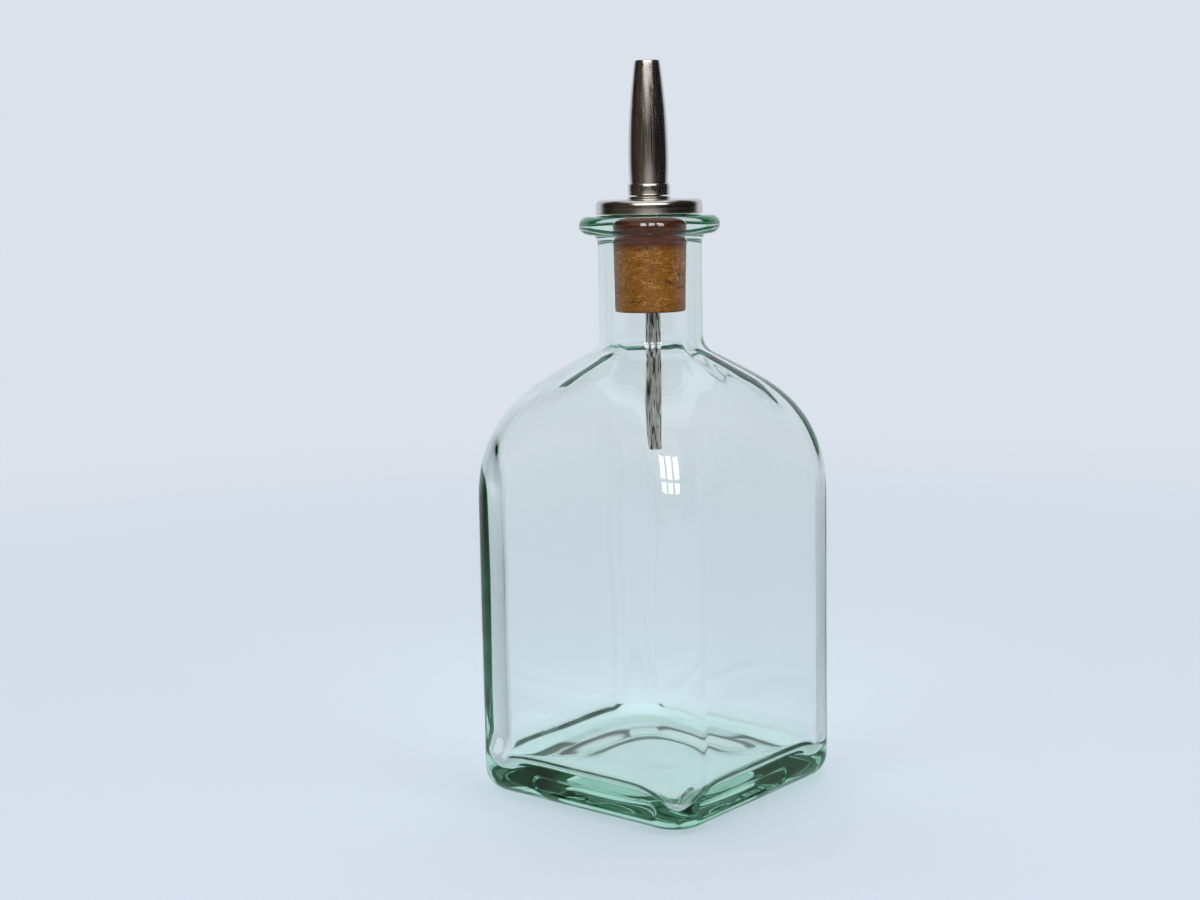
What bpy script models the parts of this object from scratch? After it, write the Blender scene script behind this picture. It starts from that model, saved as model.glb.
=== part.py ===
"""Glass oil cruet: a square recycled-glass bottle with a cork that carries a steel pourer.

Units are metres and +Z is up. The origin is the centre of the base on the table, and the
bottle's flat sides face X and Y. The wide front is -Y.
"""

import math

import bmesh
import bpy

# Clearances shared by the whole part.
FIT_GAP = 0.0003            # gap left between two pieces that touch
OVERRUN = 0.002             # how far a cutter reaches past the surface it cuts

# Bottle body.
BOTTLE_SIDE = 0.073         # across the flats
CORNER_RADIUS = 0.0107      # upright corners, seen from above
WALL = 0.0035               # side wall
HEEL_RADIUS = 0.0067        # rounding from the sides into the base
BEARING_WIDTH = 0.0050      # flat ring that the bottle stands on
RECESS_DEPTH = 0.0030       # push-up under the base
FLOOR_CORNER_HEIGHT = 0.0052    # inner floor at the corners
FLOOR_SIDE_HEIGHT = 0.0094      # inner floor at the middle of a side
FLOOR_CENTRE_HEIGHT = 0.0088    # inner floor over the push-up
FLOOR_FILLET = 0.0040       # rounding from the inner floor into the walls

# Shoulder and neck.
SHOULDER_CORNER_START = 0.0820  # where a corner leaves the vertical
SHOULDER_FACE_START = 0.0940    # where the middle of a flat side leaves it
SHOULDER_SLOPE = math.radians(28.0)     # cone that runs up to the neck
NECK_FILLET = 0.0030        # rounding between the cone and the neck
NECK_WALL = 0.0037
BORE_RADIUS = 0.0101
NECK_LENGTH = 0.0333        # from the top of the fillet to the top of the lip

# Lip.
LIP_OVERHANG = 0.0049       # how far the lip stands out from the neck
LIP_BEAD = 0.0024           # radius of its rounded edge
LIP_RISE = 0.0002           # how much the lip's top climbs towards the mouth
LIP_FILLET = 0.0032         # hollow under the lip
MOUTH_ROUND = 0.0012        # rounding into the bore

# Two plain pads pressed into the heel.
PANEL_LENGTH = 0.0410
PANEL_HEIGHT = 0.0044
PANEL_BOTTOM = 0.0037       # height of the pad's lower edge
PANEL_DEPTH = 0.0004
FRONT_PANEL_SHIFT = 0.0070  # both pads lie nearer to the corner between them
SIDE_PANEL_SHIFT = -0.0109

# Cork.
CORK_DEPTH = 0.0253         # how deep it sits in the neck
CORK_TAPER = 0.0005         # radius lost from top to bottom
CORK_CHAMFER = 0.0004

# Stamped flange with a turned-down rim and a small boss.
FLANGE_LAP = 0.00405        # how far the flange reaches past the bore
FLANGE_HEIGHT = 0.0037
FLANGE_EDGE_ROUND = 0.0014
SHEET = 0.0007
BOSS_HEIGHT = 0.0008
BOSS_LAP = 0.0001           # how far the boss stands out past the spout's bead

# Spout.
SPOUT_LENGTH = 0.0350
SPOUT_TIP_RADIUS = 0.00335
SPOUT_BELLY_RADIUS = 0.0053
SPOUT_WAIST_RADIUS = 0.0051
SPOUT_BEAD_RADIUS = 0.0056
SPOUT_BEAD_HEIGHT = 0.0031
SPOUT_BELLY_HEIGHT = 0.0095     # from the spout's foot to its widest place
SPOUT_WALL = 0.00035

# Stem through the cork, and the thin air tube inside it.
STEM_RADIUS = 0.0035
STEM_WALL = 0.0005
STEM_RISE = 0.0030          # how far it reaches into the spout
AIR_TUBE_RADIUS = 0.0020
AIR_TUBE_WALL = 0.0004
AIR_TUBE_DROP = 0.0374      # below the cork
AIR_TUBE_RISE = 0.0085      # above the stem, inside the spout

# Shares, counts and steps.
MIN_CORNER_SHARE = 0.25     # a shrunken corner keeps at least this much of its radius
SIDE_POINT_SHARES = (0.0, 0.3, 0.6, 0.85)   # points along the flat half of a side
CORNER_STEPS = 8
CIRCLE_STEPS = 48
SMALL_CIRCLE_STEPS = 32
SPOUT_TAPER_POWER = 1.9     # how the spout swells from its tip
RECESS_SHARES = (0.35, 0.65, 0.85)
FLOOR_SHARES = (0.8, 0.5, 0.2)
SMOOTH_ANGLE = math.radians(35.0)

# Sizes that follow from the ones above.
HALF_SIDE = BOTTLE_SIDE / 2
NECK_RADIUS = BORE_RADIUS + NECK_WALL
LIP_RADIUS = NECK_RADIUS + LIP_OVERHANG
DIAGONAL = math.sqrt(2.0)
CORK_TOP_RADIUS = BORE_RADIUS - FIT_GAP
FLANGE_RADIUS = BORE_RADIUS + FLANGE_LAP
BOSS_RADIUS = SPOUT_BEAD_RADIUS + BOSS_LAP


def clear_scene():
    """Remove whatever the scene holds."""
    for item in list(bpy.data.objects):
        bpy.data.objects.remove(item, do_unlink=True)


def make_material(name, colour, roughness, metallic=0.0, transmission=0.0):
    """Return a Principled material."""
    material = bpy.data.materials.new(name)
    material.use_nodes = True
    shader = material.node_tree.nodes["Principled BSDF"]
    shader.inputs["Base Color"].default_value = (*colour, 1.0)
    shader.inputs["Roughness"].default_value = roughness
    shader.inputs["Metallic"].default_value = metallic
    shader.inputs["Transmission Weight"].default_value = transmission
    return material


def soda_lime_glass():
    """Recycled soda-lime glass with a faint green cast."""
    return make_material("recycled_glass", (0.80, 0.92, 0.88), 0.03, transmission=1.0)


def natural_cork():
    """Tan cork."""
    return make_material("natural_cork", (0.38, 0.20, 0.085), 0.85)


def drawn_steel(name, roughness):
    """Stainless steel."""
    return make_material(name, (0.58, 0.56, 0.53), roughness, metallic=1.0)


def add_object(name, mesh, material):
    """Put a mesh in the scene under its name, shaded smooth with crisp edges."""
    mesh.materials.append(material)
    mesh.shade_smooth()
    mesh.set_sharp_from_angle(angle=SMOOTH_ANGLE)
    item = bpy.data.objects.new(name, mesh)
    bpy.context.scene.collection.objects.link(item)
    return item


# Outlines of the body seen from above.

def rounded_square(half, radius):
    """Return the points of a rounded square, anticlockwise from the middle of the +X side."""
    flat = half - radius
    eighth = [(half, flat * share) for share in SIDE_POINT_SHARES]
    corner = []
    for step in range(CORNER_STEPS + 1):
        angle = math.pi / 2 * step / CORNER_STEPS
        corner.append((flat + radius * math.cos(angle), flat + radius * math.sin(angle)))
    other = [(y, x) for x, y in reversed(eighth[1:])]
    quarter = eighth + corner + other
    points = []
    for turn in range(4):
        c = (1, 0, -1, 0)[turn]
        s = (0, 1, 0, -1)[turn]
        points += [(x * c - y * s, x * s + y * c) for x, y in quarter]
    return points


RING_POINTS = len(rounded_square(1.0, MIN_CORNER_SHARE))


def shrunk(half, radius, inset):
    """Return half side and corner radius of an outline moved inwards."""
    return half - inset, max(radius - inset, radius * MIN_CORNER_SHARE)


def rounder(half, radius, share):
    """Corner radius of an inner outline, which turns into a circle as the share falls."""
    return half + (radius - half) * share * share


def corner_reach(half, radius):
    """Distance from the axis to the rounded corner."""
    return half * DIAGONAL - radius * (DIAGONAL - 1.0)


def corner_shares(outline):
    """Say for each point how far it is on the way from a side's middle to a corner."""
    reaches = [math.hypot(x, y) for x, y in outline]
    near = min(reaches)
    far = max(reaches)
    return [(reach - near) / (far - near) for reach in reaches]


def morphed_ring(outline, round_radius, share, heights):
    """Blend a circle (share 0) into the body's outline (share 1) at the given heights."""
    ring = []
    count = len(outline)
    for index, (x, y) in enumerate(outline):
        even_angle = 2 * math.pi * index / count
        own_angle = math.atan2(y, x) % (2 * math.pi)
        angle = even_angle + (own_angle - even_angle) * share
        reach = round_radius + (math.hypot(x, y) - round_radius) * share
        ring.append((reach * math.cos(angle), reach * math.sin(angle), heights[index]))
    return ring


def flat_ring(half, radius, height):
    """A ring of the body's outline at one height."""
    return [(x, y, height) for x, y in rounded_square(half, radius)]


def round_ring(radius, height):
    """A round ring of the neck at one height."""
    step = 2 * math.pi / RING_POINTS
    return [(radius * math.cos(step * k), radius * math.sin(step * k), height)
            for k in range(RING_POINTS)]


# The profile of the shoulder, drawn along a corner.

def shoulder_end(reach, arc_centre, end_radius):
    """Height at which the cone meets the neck's wall."""
    arc = reach - arc_centre
    turn = math.pi / 2 - SHOULDER_SLOPE
    top = SHOULDER_CORNER_START + arc * math.sin(turn)
    return top + (arc_centre + arc * math.cos(turn) - end_radius) * math.tan(SHOULDER_SLOPE)


def fillet_reach():
    """How far the neck's fillet runs along the walls that it joins."""
    return NECK_FILLET * math.tan((math.pi / 2 - SHOULDER_SLOPE) / 2)


def shoulder_profile(reach, arc_centre, end_radius, arc_steps=9, fillet_steps=3):
    """Return (radius, height) pairs from the upright corner up to the neck's wall."""
    arc = reach - arc_centre
    turn = math.pi / 2 - SHOULDER_SLOPE
    pairs = []
    for step in range(arc_steps + 1):
        angle = turn * step / arc_steps
        pairs.append((arc_centre + arc * math.cos(angle),
                      SHOULDER_CORNER_START + arc * math.sin(angle)))
    meet = shoulder_end(reach, arc_centre, end_radius)
    centre_radius = end_radius + NECK_FILLET
    centre_height = meet + fillet_reach()
    for step in range(fillet_steps + 1):
        angle = turn * (1.0 - step / fillet_steps)
        pairs.append((centre_radius - NECK_FILLET * math.cos(angle),
                      centre_height - NECK_FILLET * math.sin(angle)))
    return pairs


def shoulder_rings(half, radius, arc_centre, end_radius):
    """Rings of the shoulder, from the upright walls to the neck."""
    outline = rounded_square(half, radius)
    shares = corner_shares(outline)
    reach = corner_reach(half, radius)
    profile = shoulder_profile(reach, arc_centre, end_radius)
    top = profile[-1][1]
    rings = []
    for distance, height in profile:
        share = (distance - end_radius) / (reach - end_radius)
        heights = []
        for corner in shares:
            start = SHOULDER_FACE_START + (SHOULDER_CORNER_START - SHOULDER_FACE_START) * corner
            squeeze = (top - start) / (top - SHOULDER_CORNER_START)
            heights.append(top - (top - height) * squeeze)
        rings.append(morphed_ring(outline, end_radius, share, heights))
    return rings


NECK_FOOT = (shoulder_end(corner_reach(HALF_SIDE, CORNER_RADIUS), NECK_RADIUS, NECK_RADIUS)
             + fillet_reach())
LIP_TOP = NECK_FOOT + NECK_LENGTH
CORK_BOTTOM = LIP_TOP - CORK_DEPTH
FLANGE_FOOT = LIP_TOP + FIT_GAP
FLANGE_TOP = FLANGE_FOOT + FLANGE_HEIGHT
FLANGE_UNDERSIDE = FLANGE_TOP - SHEET
BOSS_TOP = FLANGE_TOP + BOSS_HEIGHT
SPOUT_FOOT = BOSS_TOP + FIT_GAP
STEM_TOP = SPOUT_FOOT + STEM_RISE
AIR_TUBE_TOP = STEM_TOP + AIR_TUBE_RISE
AIR_TUBE_FOOT = CORK_BOTTOM - AIR_TUBE_DROP
AIR_TUBE_SHIFT = STEM_RADIUS - STEM_WALL - FIT_GAP - AIR_TUBE_RADIUS


# The bottle: one skin from the middle of the push-up, over the lip, to the inner floor.

def heel_inset(height):
    """How far the heel has drawn in at a height."""
    if height >= HEEL_RADIUS:
        return 0.0
    rest = HEEL_RADIUS - height
    return HEEL_RADIUS - math.sqrt(HEEL_RADIUS * HEEL_RADIUS - rest * rest)


def base_rings():
    """Rings of the push-up, the bearing ring and the heel."""
    foot_half, foot_radius = shrunk(HALF_SIDE, CORNER_RADIUS, HEEL_RADIUS)
    rings = []
    for share in RECESS_SHARES:
        inner = (foot_half - BEARING_WIDTH) * share
        rings.append(flat_ring(inner, rounder(inner, foot_radius, share),
                               RECESS_DEPTH * (1.0 - share * share)))
    rings.append(flat_ring(foot_half - BEARING_WIDTH, foot_radius, 0.0))
    steps = 5
    for step in range(steps + 1):
        angle = math.pi / 2 * step / steps
        half, radius = shrunk(HALF_SIDE, CORNER_RADIUS, HEEL_RADIUS * (1.0 - math.sin(angle)))
        rings.append(flat_ring(half, radius, HEEL_RADIUS * (1.0 - math.cos(angle))))
    return rings


def lip_rings():
    """Rings of the hollow under the lip, its bead, its top and the mouth."""
    bead_radius = LIP_RADIUS - LIP_BEAD
    bead_height = LIP_TOP - LIP_RISE - LIP_BEAD
    hollow_height = bead_height - LIP_BEAD - LIP_FILLET
    rings = []
    for step in range(4):
        angle = math.pi / 2 * step / 4
        rings.append(round_ring(NECK_RADIUS + LIP_FILLET * (1.0 - math.cos(angle)) / 2,
                                hollow_height + LIP_FILLET * math.sin(angle)))
    steps = 7
    for step in range(steps + 1):
        angle = math.pi * (step / steps - 0.5)
        rings.append(round_ring(bead_radius + LIP_BEAD * math.cos(angle),
                                bead_height + LIP_BEAD * math.sin(angle)))
    for step in range(4):
        angle = math.pi / 2 * step / 3
        rings.append(round_ring(BORE_RADIUS + MOUTH_ROUND * (1.0 - math.sin(angle)),
                                LIP_TOP - MOUTH_ROUND * (1.0 - math.cos(angle))))
    return rings


def floor_rings(half, radius):
    """Rings of the inner floor, high at the sides and low in the corners."""
    outline = rounded_square(half, radius)
    rise = FLOOR_CORNER_HEIGHT - FLOOR_SIDE_HEIGHT
    edges = [FLOOR_SIDE_HEIGHT + rise * corner for corner in corner_shares(outline)]
    rings = []
    steps = 4
    for step in range(steps + 1):
        angle = math.pi / 2 * step / steps
        inset = FLOOR_FILLET * (1.0 - math.cos(angle))
        drop = FLOOR_FILLET * (1.0 - math.sin(angle))
        points = rounded_square(*shrunk(half, radius, inset))
        rings.append([(x, y, edge + drop) for (x, y), edge in zip(points, edges)])
    floor_half, floor_radius = shrunk(half, radius, FLOOR_FILLET)
    for share in FLOOR_SHARES:
        inner = floor_half * share
        points = rounded_square(inner, rounder(inner, floor_radius, share))
        rings.append([(x, y, FLOOR_CENTRE_HEIGHT + (edge - FLOOR_CENTRE_HEIGHT) * share * share)
                      for (x, y), edge in zip(points, edges)])
    return rings


def loft(rings, first_pole, last_pole):
    """Skin a run of rings and close both ends on a point."""
    shape = bmesh.new()
    loops = [[shape.verts.new(point) for point in ring] for ring in rings]
    for lower, upper in zip(loops, loops[1:]):
        for k in range(len(lower)):
            n = (k + 1) % len(lower)
            shape.faces.new((lower[k], lower[n], upper[n], upper[k]))
    for loop, pole, flip in ((loops[0], first_pole, True), (loops[-1], last_pole, False)):
        tip = shape.verts.new(pole)
        for k in range(len(loop)):
            n = (k + 1) % len(loop)
            shape.faces.new((loop[n], loop[k], tip) if flip else (loop[k], loop[n], tip))
    return shape


def panel_cutter(name, shift, turn):
    """A round-ended block that presses one pad into the heel."""
    low = heel_inset(PANEL_BOTTOM)
    high = heel_inset(PANEL_BOTTOM + PANEL_HEIGHT)
    tilt = math.atan2(low - high, PANEL_HEIGHT)
    half_height = PANEL_HEIGHT / 2
    straight = PANEL_LENGTH / 2 - half_height
    shape = bmesh.new()
    outline = []
    steps = 6
    for side, start in ((1, -math.pi / 2), (-1, math.pi / 2)):
        for step in range(steps + 1):
            angle = start + math.pi * step / steps
            outline.append(shape.verts.new((side * straight + half_height * math.cos(angle),
                                            PANEL_DEPTH, half_height * math.sin(angle))))
    face = shape.faces.new(outline)
    grown = bmesh.ops.extrude_face_region(shape, geom=[face])
    moved = [item for item in grown["geom"] if isinstance(item, bmesh.types.BMVert)]
    bmesh.ops.translate(shape, verts=moved, vec=(0.0, -PANEL_DEPTH - OVERRUN, 0.0))
    bmesh.ops.recalc_face_normals(shape, faces=shape.faces)
    mesh = bpy.data.meshes.new(name)
    shape.to_mesh(mesh)
    shape.free()
    cutter = bpy.data.objects.new(name, mesh)
    bpy.context.scene.collection.objects.link(cutter)
    cutter.hide_render = True
    cutter.display_type = "WIRE"
    depth = HALF_SIDE - (low + high) / 2
    height = PANEL_BOTTOM + half_height
    cutter.location = (shift * math.cos(turn) + depth * math.sin(turn),
                       shift * math.sin(turn) - depth * math.cos(turn), height)
    cutter.rotation_euler = (tilt, 0.0, turn)
    return cutter


def build_bottle(material):
    """The blown bottle, open at its mouth."""
    inner_half = HALF_SIDE - WALL
    inner_radius = CORNER_RADIUS - WALL
    rings = base_rings()
    rings += shoulder_rings(HALF_SIDE, CORNER_RADIUS, NECK_RADIUS, NECK_RADIUS)
    rings += lip_rings()
    rings += reversed(shoulder_rings(inner_half, inner_radius, NECK_RADIUS, BORE_RADIUS))
    rings += floor_rings(inner_half, inner_radius)
    shape = loft(rings, (0.0, 0.0, RECESS_DEPTH), (0.0, 0.0, FLOOR_CENTRE_HEIGHT))
    mesh = bpy.data.meshes.new("glass_bottle")
    shape.to_mesh(mesh)
    shape.free()
    bottle = add_object("glass_bottle", mesh, material)
    panels = (("front_pad_cutter", FRONT_PANEL_SHIFT, 0.0),
              ("side_pad_cutter", SIDE_PANEL_SHIFT, math.pi / 2))
    for name, shift, turn in panels:
        cut = bottle.modifiers.new(name, "BOOLEAN")
        cut.operation = "DIFFERENCE"
        cut.solver = "EXACT"
        cut.object = panel_cutter(name, shift, turn)
    return bottle


# Turned pieces.

def turned(name, profile, material, steps):
    """Turn a closed profile of (radius, height) pairs, which runs down its outer side."""
    lowest = min(height for _, height in profile)
    mesh = bpy.data.meshes.new(name)
    points = [(radius, 0.0, height - lowest) for radius, height in profile]
    edges = [(k, (k + 1) % len(points)) for k in range(len(points))]
    mesh.from_pydata(points, edges, [])
    item = add_object(name, mesh, material)
    item.location = (0.0, 0.0, lowest)
    screw = item.modifiers.new("turn", "SCREW")
    screw.axis = "Z"
    screw.angle = 2 * math.pi
    screw.steps = steps
    screw.render_steps = steps
    screw.use_merge_vertices = True
    screw.merge_threshold = FIT_GAP / 100
    screw.use_smooth_shade = True
    return item


def arc_points(radius, height, size, start, end, steps):
    """Points of an arc in the profile's plane, from one angle to another."""
    points = []
    for step in range(steps + 1):
        angle = start + (end - start) * step / steps
        points.append((radius + size * math.cos(angle), height + size * math.sin(angle)))
    return points


def build_cork(material):
    """Tapered cork, bored for the stem. It fills the flange and stands in the neck."""
    bore = STEM_RADIUS + FIT_GAP
    top = FLANGE_UNDERSIDE - FIT_GAP
    bottom_radius = CORK_TOP_RADIUS - CORK_TAPER
    profile = [(bore, top),
               (CORK_TOP_RADIUS - CORK_CHAMFER, top),
               (CORK_TOP_RADIUS, top - CORK_CHAMFER),
               (CORK_TOP_RADIUS, LIP_TOP - MOUTH_ROUND),
               (bottom_radius, CORK_BOTTOM + CORK_CHAMFER),
               (bottom_radius - CORK_CHAMFER, CORK_BOTTOM),
               (bore, CORK_BOTTOM)]
    return turned("cork_stopper", profile, material, CIRCLE_STEPS)


def build_flange(material):
    """Stamped flange: boss, flat top, rounded edge, rim and the hollow under it."""
    bore = STEM_RADIUS + FIT_GAP
    edge = FLANGE_RADIUS - FLANGE_EDGE_ROUND
    shoulder = FLANGE_TOP - FLANGE_EDGE_ROUND
    lip_round = SHEET / 3
    profile = [(bore, BOSS_TOP)]
    profile += arc_points(BOSS_RADIUS - lip_round, BOSS_TOP - lip_round, lip_round,
                          math.pi / 2, 0.0, 2)
    profile.append((BOSS_RADIUS, FLANGE_TOP))
    profile += arc_points(edge, shoulder, FLANGE_EDGE_ROUND, math.pi / 2, 0.0, 5)
    profile += arc_points(FLANGE_RADIUS - lip_round, FLANGE_FOOT + lip_round, lip_round,
                          0.0, -math.pi / 2, 2)
    profile.append((FLANGE_RADIUS - SHEET, FLANGE_FOOT))
    profile += arc_points(edge, shoulder, FLANGE_EDGE_ROUND - SHEET, 0.0, math.pi / 2, 3)
    profile.append((bore, FLANGE_UNDERSIDE))
    return turned("pourer_flange", profile, material, CIRCLE_STEPS)


def spout_radius(height):
    """Outer radius of the spout at a height above its foot, over the bead."""
    if height <= SPOUT_BELLY_HEIGHT:
        share = (height - SPOUT_BEAD_HEIGHT) / (SPOUT_BELLY_HEIGHT - SPOUT_BEAD_HEIGHT)
        swell = math.sin(math.pi / 2 * max(share, 0.0))
        return SPOUT_WAIST_RADIUS + (SPOUT_BELLY_RADIUS - SPOUT_WAIST_RADIUS) * swell
    share = (SPOUT_LENGTH - height) / (SPOUT_LENGTH - SPOUT_BELLY_HEIGHT)
    swell = 1.0 - (1.0 - share) ** SPOUT_TAPER_POWER
    return SPOUT_TIP_RADIUS + (SPOUT_BELLY_RADIUS - SPOUT_TIP_RADIUS) * swell


def build_spout(material):
    """Tapered drawn tube with a rolled bead at its foot."""
    steps = 12
    tip_round = SPOUT_WALL * 2 / 3
    span = SPOUT_LENGTH - SPOUT_BEAD_HEIGHT - tip_round
    heights = [SPOUT_BEAD_HEIGHT + span * (1.0 - k / steps) for k in range(steps + 1)]
    outer = [(spout_radius(height), SPOUT_FOOT + height) for height in heights]
    tip = [(SPOUT_TIP_RADIUS - tip_round, SPOUT_FOOT + SPOUT_LENGTH)]
    bead_middle = SPOUT_FOOT + SPOUT_BEAD_HEIGHT / 2
    bead = []
    for step in range(1, 6):
        angle = math.pi * (0.5 - step / 6)
        bead.append((SPOUT_WAIST_RADIUS
                     + (SPOUT_BEAD_RADIUS - SPOUT_WAIST_RADIUS) * math.sqrt(math.cos(angle)),
                     bead_middle + SPOUT_BEAD_HEIGHT / 2 * math.sin(angle)))
    foot = [(SPOUT_WAIST_RADIUS, SPOUT_FOOT), (SPOUT_WAIST_RADIUS - SPOUT_WALL, SPOUT_FOOT)]
    inner = [(radius - SPOUT_WALL, height) for radius, height in reversed(outer)]
    lip = [(SPOUT_TIP_RADIUS - SPOUT_WALL, SPOUT_FOOT + SPOUT_LENGTH)]
    profile = tip + outer + bead + foot + inner + lip
    return turned("pourer_spout", profile, material, SMALL_CIRCLE_STEPS)


def plain_tube(name, radius, wall, foot, top, material, steps):
    """A straight tube."""
    profile = [(radius - wall, top), (radius, top), (radius, foot), (radius - wall, foot)]
    return turned(name, profile, material, steps)


def build_stem(material):
    """Core tube that carries the oil through the cork."""
    return plain_tube("pourer_stem", STEM_RADIUS, STEM_WALL, CORK_BOTTOM, STEM_TOP,
                      material, SMALL_CIRCLE_STEPS)


def build_air_tube(material):
    """Thin tube that lets air in. It lies against one side of the stem."""
    tube = plain_tube("air_tube", AIR_TUBE_RADIUS, AIR_TUBE_WALL, AIR_TUBE_FOOT,
                      AIR_TUBE_TOP, material, SMALL_CIRCLE_STEPS)
    tube.location.x = AIR_TUBE_SHIFT
    return tube


def hang_on(parent, children):
    """Parent pieces without moving them."""
    for child in children:
        child.parent = parent
        child.location = child.location - parent.location


def add_joint_empty(name, height):
    """An empty on the bottle's axis, where a joint sits."""
    empty = bpy.data.objects.new(name, None)
    bpy.context.scene.collection.objects.link(empty)
    empty.location = (0.0, 0.0, height)
    return empty


def build():
    """Build every piece and join the ones that move together."""
    clear_scene()
    build_bottle(soda_lime_glass())
    cork = build_cork(natural_cork())
    flange = build_flange(drawn_steel("pressed_steel", 0.20))
    spout = build_spout(drawn_steel("drawn_steel", 0.18))
    stem = build_stem(drawn_steel("stem_steel", 0.30))
    air_tube = build_air_tube(drawn_steel("tube_steel", 0.25))
    lift = add_joint_empty("stopper_lift", LIP_TOP)
    hang_on(lift, [cork])
    turn = add_joint_empty("pourer_turn", LIP_TOP)
    hang_on(turn, [flange, spout, stem, air_tube])
    hang_on(lift, [turn])


build()
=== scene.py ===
"""Glass oil cruet with a corked steel pourer: its finishes, its stage and its light.

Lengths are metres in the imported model's frame: +Z is up, the origin is the centre of the base
and the bottle's flat sides face X and Y.
"""

import logging
import math
from collections.abc import Sequence
from dataclasses import dataclass, field
from enum import Enum

import bpy
import numpy as np
from mathutils import Matrix, Vector, noise


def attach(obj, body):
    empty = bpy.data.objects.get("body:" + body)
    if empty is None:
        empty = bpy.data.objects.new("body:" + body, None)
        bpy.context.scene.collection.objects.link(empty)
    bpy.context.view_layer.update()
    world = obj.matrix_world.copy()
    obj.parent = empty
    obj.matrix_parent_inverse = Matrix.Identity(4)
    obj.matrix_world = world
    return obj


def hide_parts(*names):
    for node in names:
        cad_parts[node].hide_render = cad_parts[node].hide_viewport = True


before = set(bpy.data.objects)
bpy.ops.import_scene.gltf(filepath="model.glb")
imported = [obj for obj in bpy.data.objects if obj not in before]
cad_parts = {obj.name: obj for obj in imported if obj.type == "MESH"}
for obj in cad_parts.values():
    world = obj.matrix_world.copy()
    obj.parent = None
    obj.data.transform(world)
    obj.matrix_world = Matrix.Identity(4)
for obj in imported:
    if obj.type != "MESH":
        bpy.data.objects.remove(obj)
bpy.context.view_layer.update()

LOG = logging.getLogger("cruet")
MM = 1000.0                 # millimetres in a metre
NOISE_SPAN = (0.3, 0.7)     # nearly all values of the noise texture lie between these
WHITE = "FFFFFF"
DAYLIGHT = "F4F7FF"

Pair = tuple[float, float]
Triple = tuple[float, float, float]
Colour = tuple[float, float, float, float]
Profile = list[Pair]


class Body(Enum):
    """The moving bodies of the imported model."""

    BOTTLE = "bottle"
    STOPPER = "stopper"
    POURER = "pourer"


class Skin(Enum):
    """The two skins of the bottle's glass."""

    OUTER = "outer"
    INNER = "inner"


# Colour and shader helpers.

def linear(hex_colour: str) -> Colour:
    """Turn an sRGB hex colour into linear values, by the curve of the sRGB standard.

    Args:
        hex_colour: six hex digits, such as "C8A070".

    Returns:
        Red, green and blue in linear light, and an alpha of one.
    """
    values = []
    for k in (0, 2, 4):
        level = int(hex_colour[k:k + 2], 16) / 255
        values.append(level / 12.92 if level <= 0.04045 else ((level + 0.055) / 1.055) ** 2.4)
    return values[0], values[1], values[2], 1.0


def add_node(tree: bpy.types.NodeTree, kind: str, inputs: dict | None = None,
             **settings: object) -> bpy.types.Node:
    """Add a node, set its fields, and fill or link its inputs.

    Args:
        tree: the node tree that takes the node.
        kind: the node's type name.
        inputs: input name or number to a value, or to the output socket that feeds it.
        **settings: fields of the node itself.

    Returns:
        The new node.
    """
    made = tree.nodes.new(kind)
    for name, value in settings.items():
        setattr(made, name, value)
    for key, value in (inputs or {}).items():
        if isinstance(value, bpy.types.NodeSocket):
            tree.links.new(value, made.inputs[key])
        else:
            made.inputs[key].default_value = value
    return made


def set_ramp(ramp_node: bpy.types.Node, stops: Sequence[tuple[float, str]]) -> None:
    """Give a colour ramp its stops.

    Args:
        ramp_node: the colour ramp.
        stops: places from 0 to 1 with their hex colours, in rising order.
    """
    elements = ramp_node.color_ramp.elements
    while len(elements) < len(stops):
        elements.new(1.0)
    for element, (place, tone) in zip(elements, stops):
        element.position = place
        element.color = linear(tone)


def blank_material(name: str) -> tuple[bpy.types.Material, bpy.types.NodeTree, bpy.types.Node]:
    """Start a material with nothing but an output.

    Args:
        name: what the finish is.

    Returns:
        The material, its tree and its output node.
    """
    material = bpy.data.materials.new(name)
    material.use_nodes = True
    material.node_tree.nodes.clear()
    output = add_node(material.node_tree, "ShaderNodeOutputMaterial")
    return material, material.node_tree, output


# Finishes.

@dataclass(frozen=True)
class RecycledGlass:
    """Recycled soda-lime glass, blown into a mould and fire polished.

    Iron left in the melt tints it: a thin wall looks clear, and the thick base and the edges,
    which are seen along the glass, look sea green.
    """

    surface: str = WHITE        # the colour is in the glass and not on its skin
    body: str = "59EBBE"        # what the glass lets pass, red least of all
    density: float = 9.5        # per metre: a 3 mm wall stays clear and 70 mm of base turns green
    ior: float = 1.52
    roughness: float = 0.0
    shade: str = "ECF2EF"       # what a skin lets pass of a lamp's light, so the shadow is pale

    def make(self) -> bpy.types.Material:
        """Build the glass material.

        Returns:
            The material.
        """
        material, tree, output = blank_material("recycled_soda_lime_glass")
        shader = add_node(tree, "ShaderNodeBsdfPrincipled", {
            "Base Color": linear(self.surface), "Roughness": self.roughness, "IOR": self.ior,
            "Transmission Weight": 1.0})
        volume = add_node(tree, "ShaderNodeVolumeAbsorption", {
            "Color": linear(self.body), "Density": self.density})
        path = add_node(tree, "ShaderNodeLightPath")
        clear = add_node(tree, "ShaderNodeBsdfTransparent", {"Color": linear(self.shade)})
        mix = add_node(tree, "ShaderNodeMixShader", {
            0: path.outputs["Is Shadow Ray"], 1: shader.outputs["BSDF"], 2: clear.outputs["BSDF"]})
        tree.links.new(mix.outputs["Shader"], output.inputs["Surface"])
        tree.links.new(volume.outputs["Volume"], output.inputs["Volume"])
        return material


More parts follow.
